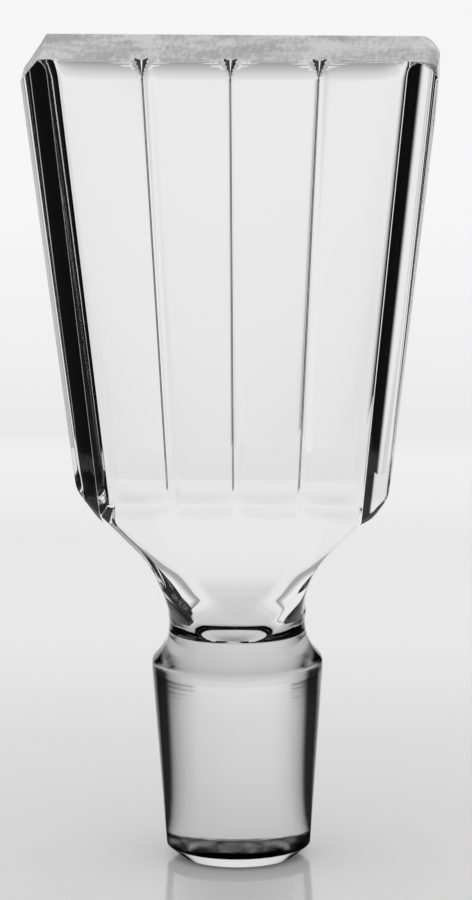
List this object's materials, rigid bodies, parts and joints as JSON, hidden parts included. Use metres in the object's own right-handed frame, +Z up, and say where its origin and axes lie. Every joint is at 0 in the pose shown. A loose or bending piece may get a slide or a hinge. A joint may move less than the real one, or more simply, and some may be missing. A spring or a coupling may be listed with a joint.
{
  "type": "glass stopper",
  "caption": "Solid clear glass decanter stopper: a tall fan-shaped slab head with hollow-cut upright panels, a round waist and a ground taper plug on which it stands.",
  "frame": {"origin": "centre of the plug's flat end, on the plug's axis, where the stopper stands", "axes": "+Z up along the plug's axis to the head's top face, +X across the head's width, +Y through its thickness; the front looks along -Y"},
  "size_m": [0.0585, 0.024, 0.117],
  "materials": {
    "glass": "clear polished glass, with a ground grey top face and a finely ground plug"
  },
  "bodies": {
    "root": {"stopper": "glass"}
  },
  "joints": []
}
